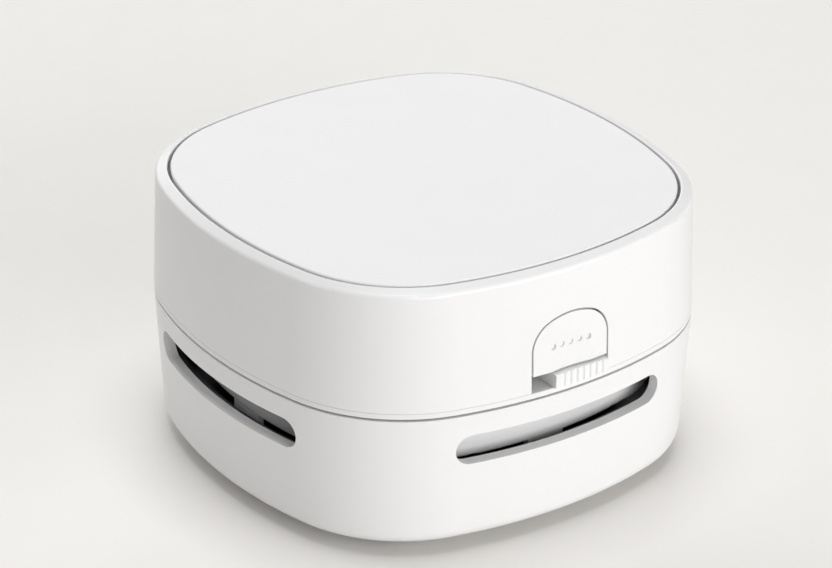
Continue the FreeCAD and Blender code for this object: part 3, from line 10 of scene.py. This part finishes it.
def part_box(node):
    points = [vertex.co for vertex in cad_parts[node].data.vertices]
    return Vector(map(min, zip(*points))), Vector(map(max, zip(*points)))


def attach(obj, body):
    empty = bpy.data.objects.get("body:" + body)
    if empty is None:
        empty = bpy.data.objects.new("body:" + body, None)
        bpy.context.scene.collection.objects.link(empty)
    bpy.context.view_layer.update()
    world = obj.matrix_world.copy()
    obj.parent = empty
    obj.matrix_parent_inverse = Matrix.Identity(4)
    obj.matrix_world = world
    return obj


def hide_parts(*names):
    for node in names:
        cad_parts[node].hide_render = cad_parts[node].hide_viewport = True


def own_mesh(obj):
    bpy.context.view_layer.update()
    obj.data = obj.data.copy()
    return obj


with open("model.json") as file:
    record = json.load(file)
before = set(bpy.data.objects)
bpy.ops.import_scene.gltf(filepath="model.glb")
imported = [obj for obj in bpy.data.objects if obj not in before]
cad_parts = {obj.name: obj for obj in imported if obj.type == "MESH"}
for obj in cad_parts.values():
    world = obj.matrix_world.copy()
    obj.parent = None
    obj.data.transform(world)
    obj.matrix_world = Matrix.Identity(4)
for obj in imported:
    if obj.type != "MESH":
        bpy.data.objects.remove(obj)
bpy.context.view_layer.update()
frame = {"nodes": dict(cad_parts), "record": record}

# A desktop mini vacuum cleaner on a pale table. Lengths are in metres unless a name says _mm.
MM = 0.001
X_AXIS = Vector((1, 0, 0))
Z_AXIS = Vector((0, 0, 1))


def add_object(name, data):
    item = bpy.data.objects.new(name, data)
    bpy.context.scene.collection.objects.link(item)
    return item


# Camera, fitted to the outline of the cleaner in the photograph. Angles are in degrees.

VIEW_AZIMUTH = -35.136
VIEW_ELEVATION = 26.591
VIEW_ROLL = 0.485
VIEW_DISTANCE = 0.5833
OFFSET_ACROSS = -0.00074
OFFSET_UP = 0.02445
LENS_MM = 145.41
SENSOR_MM = 36.0
CLIP_START = 0.01
CLIP_END = 20


def make_camera():
    azimuth = math.radians(VIEW_AZIMUTH)
    elevation = math.radians(VIEW_ELEVATION)
    roll = math.radians(VIEW_ROLL)
    back = Vector((math.sin(azimuth) * math.cos(elevation),
                   -math.cos(azimuth) * math.cos(elevation), math.sin(elevation)))
    right = (-back).cross(Z_AXIS).normalized()
    up = right.cross(-back)
    across = math.cos(roll) * right + math.sin(roll) * up
    upward = -math.sin(roll) * right + math.cos(roll) * up
    data = bpy.data.cameras.new("camera")
    data.lens = LENS_MM
    data.sensor_width = SENSOR_MM
    data.sensor_fit = "HORIZONTAL"
    data.clip_start = CLIP_START
    data.clip_end = CLIP_END
    camera = add_object("camera", data)
    turn = Matrix((across, upward, back)).transposed().to_4x4()
    place = back * VIEW_DISTANCE + across * OFFSET_ACROSS + upward * OFFSET_UP
    camera.matrix_world = Matrix.Translation(place) @ turn
    bpy.context.scene.camera = camera


make_camera()


# Materials

CLOUD_WAVES = 60  # faint clouds in colour, in waves per metre
CLOUD_DETAIL = 3
SMEAR_WAVES = 140  # faint smears in gloss, in waves per metre
SMEAR_DETAIL = 4
SMEAR_SHARE = 0.12  # how far smears move the roughness either way
GRAIN_DETAIL = 2


def add_noise(tree, waves, detail):
    """Noise over the piece itself, in waves per metre."""
    coordinates = tree.nodes.new("ShaderNodeTexCoord")
    noise = tree.nodes.new("ShaderNodeTexNoise")
    noise.inputs["Scale"].default_value = waves
    noise.inputs["Detail"].default_value = detail
    tree.links.new(coordinates.outputs["Object"], noise.inputs["Vector"])
    return noise.outputs["Fac"]


def spread(tree, factor, low, high):
    """Map a 0 to 1 factor to a range of values."""
    node = tree.nodes.new("ShaderNodeMapRange")
    node.inputs["To Min"].default_value = low
    node.inputs["To Max"].default_value = high
    tree.links.new(factor, node.inputs["Value"])
    return node.outputs["Result"]


def tint(tree, factor, dark, light):
    """Mix two colours by a factor."""
    node = tree.nodes.new("ShaderNodeMix")
    node.data_type = "RGBA"
    node.inputs["A"].default_value = (*dark, 1)
    node.inputs["B"].default_value = (*light, 1)
    tree.links.new(factor, node.inputs["Factor"])
    return node.outputs["Result"]


def add_bump(tree, shader, height, distance):
    bump = tree.nodes.new("ShaderNodeBump")
    bump.inputs["Distance"].default_value = distance
    tree.links.new(height, bump.inputs["Height"])
    tree.links.new(bump.outputs["Normal"], shader.inputs["Normal"])


def moulded(name, colour, roughness, cloud=0.02, grain_mm=0.12, grain_depth_mm=0.004,
            metallic=0.0):
    """Moulded plastic, rubber or plain metal: faint clouds and smears, and a fine grain."""
    material = bpy.data.materials.new(name)
    material.use_nodes = True
    tree = material.node_tree
    shader = next(node for node in tree.nodes if node.type == "BSDF_PRINCIPLED")
    clouds = add_noise(tree, CLOUD_WAVES, CLOUD_DETAIL)
    dark = [value * (1 - cloud) for value in colour]
    light = [min(1, value * (1 + cloud)) for value in colour]
    tree.links.new(tint(tree, clouds, dark, light), shader.inputs["Base Color"])
    smears = add_noise(tree, SMEAR_WAVES, SMEAR_DETAIL)
    gloss = spread(tree, smears, roughness * (1 - SMEAR_SHARE), roughness * (1 + SMEAR_SHARE))
    tree.links.new(gloss, shader.inputs["Roughness"])
    grain = add_noise(tree, 1 / (grain_mm * MM), GRAIN_DETAIL)
    add_bump(tree, shader, grain, grain_depth_mm * MM)
    shader.inputs["Metallic"].default_value = metallic
    return material


def grey(value):
    return (value, value, value)


SATIN = {"cloud": 0.008, "grain_mm": 0.25, "grain_depth_mm": 0.0015}
METAL = {"cloud": 0.05, "metallic": 1.0}

MATERIALS = {
    "shell_plastic": moulded("white_shell", grey(0.86), 0.36, **SATIN),
    "panel_plastic": moulded("white_panel", grey(0.87), 0.55, cloud=0.008, grain_mm=0.10),
    "button_plastic": moulded("white_button", grey(0.86), 0.38, **SATIN),
    "chassis_plastic": moulded("white_chassis", grey(0.86), 0.36, **SATIN),
    "shroud_plastic": moulded("light_shroud", grey(0.88), 0.35, cloud=0.01),
    "black_plastic": moulded("black_plastic", (0.022, 0.022, 0.023), 0.45, cloud=0.2),
    "roller_plastic": moulded("dark_roller", grey(0.05), 0.5, cloud=0.1),
    "bristle": moulded("bristle", grey(0.03), 0.45, cloud=0.2),
    "mesh": moulded("filter_mesh", (0.10, 0.10, 0.11), 0.8, cloud=0.2),
    "seal_rubber": moulded("seal_rubber", grey(0.18), 0.7, cloud=0.05),
    "adhesive": moulded("adhesive", (0.6, 0.6, 0.58), 0.6),
    "steel": moulded("steel", (0.55, 0.55, 0.57), 0.3, **METAL),
    "magnet": moulded("magnet", (0.06, 0.06, 0.065), 0.55, cloud=0.1),
    "copper": moulded("copper", (0.72, 0.38, 0.22), 0.3, **METAL),
    "cell_wrap": moulded("cell_wrap", (0.05, 0.16, 0.35), 0.35, cloud=0.05),
    "nickel": moulded("nickel", (0.62, 0.60, 0.56), 0.25, **METAL),
    "board": moulded("board", (0.02, 0.12, 0.05), 0.4, cloud=0.1),
    "lamp_lens": moulded("lamp_lens", (0.75, 0.77, 0.74), 0.2),
}

slots = {entry["node"]: entry["material_slot"] for entry in frame["record"]["subparts"]}
for name, item in frame["nodes"].items():
    item.data.materials.clear()
    item.data.materials.append(MATERIALS[slots[name]])


# Tools for the pieces made here

WELD_DISTANCE = 1e-6
SHARP_ANGLE = math.radians(35)


def node_form(node):
    """A CAD node's mesh to work on, with its doubled corners welded."""
    form = bmesh.new()
    form.from_mesh(frame["nodes"][node].data)
    bmesh.ops.remove_doubles(form, verts=form.verts, dist=WELD_DISTANCE)
    return form


def islands(node):
    """The separate solids of a node, each as a list of points."""
    form = node_form(node)
    left = set(form.verts)
    found = []
    while left:
        reach = [min(left, key=lambda vertex: vertex.index)]
        left.discard(reach[0])
        for vertex in reach:
            for edge in vertex.link_edges:
                other = edge.other_vert(vertex)
                if other in left:
                    left.discard(other)
                    reach.append(other)
        found.append([vertex.co.copy() for vertex in reach])
    form.free()
    return found


def add_strand(form, line, radii, sides, across):
    """A closed strand along a line of points, with one radius per point.

    The first side of the strand faces across."""
    rings = []
    for index, point in enumerate(line):
        ahead = line[min(index + 1, len(line) - 1)] - line[max(index - 1, 0)]
        first = (across - ahead * across.dot(ahead) / ahead.length_squared).normalized()
        second = ahead.normalized().cross(first)
        ring = []
        for side in range(sides):
            angle = 2 * math.pi * side / sides
            offset = first * math.cos(angle) + second * math.sin(angle)
            ring.append(form.verts.new(point + offset * radii[index]))
        rings.append(ring)
    for low, high in zip(rings, rings[1:]):
        for side in range(sides):
            after = (side + 1) % sides
            form.faces.new((low[side], low[after], high[after], high[side]))
    form.faces.new(rings[0][::-1])
    form.faces.new(rings[-1])


def add_piece(name, form, body, slot, node=None):
    """Give a formed piece its body and finish. It replaces a CAD node if one is named."""
    mesh = bpy.data.meshes.new(name)
    form.to_mesh(mesh)
    form.free()
    mesh.polygons.foreach_set("use_smooth", [True] * len(mesh.polygons))
    mesh.set_sharp_from_angle(angle=SHARP_ANGLE)
    mesh.materials.append(MATERIALS[slot])
    piece = add_object(name, mesh)
    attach(piece, body)
    if node:
        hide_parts(node)
    return piece


# Brush bristles as hairs

HAIRS = 32  # in each tuft
HAIR_SIDES = 5
HAIR_RADIUS = 0.055 * MM
HAIR_STEPS = (0.0, 0.45, 0.75, 1.0)  # shares of a hair's length
HAIR_RADII = [HAIR_RADIUS * share for share in (1, 1, 1, 0.6)]
GOLDEN_ANGLE = math.pi * (3 - math.sqrt(5))
ROOT_SHARE = 0.74  # of the tuft's radius
# How hairs differ: a mean, a swing, and radians of phase per hair and per tuft
LEAN = (0.22, 0.06, 2.4, 1.7)  # share that the tip stands further out than the root
TIP_GAP = (0.06, 0.06, 4.1, 1)  # share of the tuft's length that the hair falls short


def vary(rule, hair, tuft):
    mean, swing, per_hair, per_tuft = rule
    return mean + swing * math.sin(hair * per_hair + tuft * per_tuft)


def make_bristles():
    """Each tuft of the brush as nylon hairs that lean apart towards their tips."""
    form = bmesh.new()
    for tuft, points in enumerate(islands("brush_bristles")):
        low = Vector([min(point[axis] for point in points) for axis in range(3)])
        high = Vector([max(point[axis] for point in points) for axis in range(3)])
        middle = (low + high) / 2
        radius = (high.x - low.x) / 2
        for hair in range(HAIRS):
            angle = GOLDEN_ANGLE * (hair + tuft * HAIRS)
            out = Vector((math.cos(angle), math.sin(angle), 0))
            root = out * (radius - HAIR_RADIUS) * ROOT_SHARE * math.sqrt((hair + 0.5) / HAIRS)
            lean = vary(LEAN, hair, tuft)
            tip = low.z + vary(TIP_GAP, hair, tuft) * (high.z - low.z)
            line = []
            for step in HAIR_STEPS:
                place = root * (1 + lean * step * step)
                line.append(Vector((middle.x + place.x, middle.y + place.y,
                                    high.z + (tip - high.z) * step)))
            add_strand(form, line, HAIR_RADII, HAIR_SIDES, X_AXIS)
    add_piece("bristle_hairs", form, "base", "bristle", "brush_bristles")


# Filter mesh as woven threads

THREAD_SIDES = 4
THREAD_RADIUS = 0.12 * MM
THREAD_PITCH = 0.85 * MM


def make_filter_weave():
    """The filter mesh as crossing nylon threads, over and under in turn."""
    low, high = (Vector(corner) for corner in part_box("filter_mesh"))
    middle = (low + high) / 2
    radius = (high.x - low.x) / 2
    count = int(radius / THREAD_PITCH)
    form = bmesh.new()
    for way in (0, 1):
        for row in range(-count, count + 1):
            offset = row * THREAD_PITCH
            reach = math.sqrt(radius * radius - offset * offset)
            steps = int(reach / THREAD_PITCH)
            line = []
            for step in range(-steps, steps + 1):
                along = step * THREAD_PITCH
                lift = THREAD_RADIUS if (row + step + way) % 2 else -THREAD_RADIUS
                place = (along, offset, lift) if way == 0 else (offset, along, lift)
                line.append(middle + Vector(place))
            if len(line) > 1:
                add_strand(form, line, [THREAD_RADIUS] * len(line), THREAD_SIDES, Z_AXIS)
    add_piece("filter_weave", form, "filter", "mesh", "filter_mesh")


# Leaf spring behind the release button

def make_leaf_spring():
    """The leaf spring behind the release button, as its own steel piece on the upper unit."""
    form = node_form("button_spring")
    piece = add_piece("leaf_spring", form, "upper_unit", "steel", "button_spring")
    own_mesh(piece)


# Dark rubber rings set in the gap round the top panel and inside the parting line, as painted
# shade that darkens these lines

RING_CHAMFER_MM = 0.08
LEVEL_TOLERANCE = 0.02 * MM


def make_painted_shade_ring(name, node, outline_mm, reach_mm, height_mm):
    """A dark rubber ring round the outline that a node has at one height, set in a gap as
    painted shade.

    The reach says how far outside that outline the ring starts and ends."""
    inner, outer = reach_mm
    low, high = height_mm
    points = [vertex.co.xy for vertex in frame["nodes"][node].data.vertices
              if abs(vertex.co.z - outline_mm * MM) < LEVEL_TOLERANCE]
    outline = [points[index] for index in convex_hull_2d(points)]
    shoulder = high - RING_CHAMFER_MM
    profile = ((inner, low), (outer, low), (outer, shoulder), (outer - RING_CHAMFER_MM, high),
               (inner + RING_CHAMFER_MM, high), (inner, shoulder))
    form = bmesh.new()
    rings = []
    for index, point in enumerate(outline):
        ahead = outline[(index + 1) % len(outline)] - outline[index - 1]
        out = Vector((ahead.y, -ahead.x)).normalized()
        if out.dot(point) < 0:
            out = -out
        rings.append([form.verts.new((*(point + out * reach * MM), height * MM))
                      for reach, height in profile])
    for index, ring in enumerate(rings):
        after = rings[(index + 1) % len(rings)]
        for corner in range(len(profile)):
            beside = (corner + 1) % len(profile)
            form.faces.new((ring[corner], after[corner], after[beside], ring[beside]))
    bmesh.ops.recalc_face_normals(form, faces=form.faces)
    add_piece(name, form, "upper_unit", "seal_rubber")


make_bristles()
make_filter_weave()
make_leaf_spring()
# Painted shade: a dark ring in the gap round the top panel darkens the gap line
make_painted_shade_ring("panel_gap_painted_shade", "top_panel", outline_mm=46.7, reach_mm=(0.02, 0.5),
          height_mm=(46.52, 47.2))
# Painted shade: a dark ring inside the parting line darkens the seam
make_painted_shade_ring("parting_gap_painted_shade", "chassis", outline_mm=26.1, reach_mm=(-1.6, -0.45),
          height_mm=(25.78, 26.09))


# Floor and light

FLOOR_REACH = 3.0
WORLD_STRENGTH = 0.12
LIGHT_AIM = Vector((0, 0, 0.03))
LIGHTS = (  # name, place, size and power in watts
    ("front_box", (0.1, -1.1, 0.35), (1.6, 0.5), 10.7),
    ("top_box", (0, 0, 1.2), (0.6, 0.6), 6.8),
    ("back_box", (0.15, 1.4, 0.6), (2.8, 0.7), 17),
)


def make_floor():
    corners = [(x * FLOOR_REACH, y * FLOOR_REACH, 0)
               for x, y in ((-1, -1), (1, -1), (1, 1), (-1, 1))]
    mesh = bpy.data.meshes.new("floor")
    mesh.from_pydata(corners, [], [(0, 1, 2, 3)])
    mesh.materials.append(moulded("floor_paint", (0.89, 0.87, 0.84), 0.6, cloud=0.01,
                                  grain_mm=1.0, grain_depth_mm=0.002))
    floor = add_object("floor", mesh)


def area_light(name, place, size, power):
    data = bpy.data.lights.new(name, "AREA")
    data.shape = "RECTANGLE"
    data.size, data.size_y = size
    data.energy = power
    lamp = add_object(name, data)
    lamp.location = place
    lamp.rotation_euler = (LIGHT_AIM - Vector(place)).to_track_quat("-Z", "Y").to_euler()


def make_world():
    world = bpy.data.worlds.new("studio")
    world.use_nodes = True
    background = world.node_tree.nodes["Background"]
    background.inputs["Color"].default_value = (1, 1, 1, 1)
    background.inputs["Strength"].default_value = WORLD_STRENGTH
    bpy.context.scene.world = world


make_floor()
make_world()
for light in LIGHTS:
    area_light(*light)
bpy.context.scene.view_settings.view_transform = "Standard"
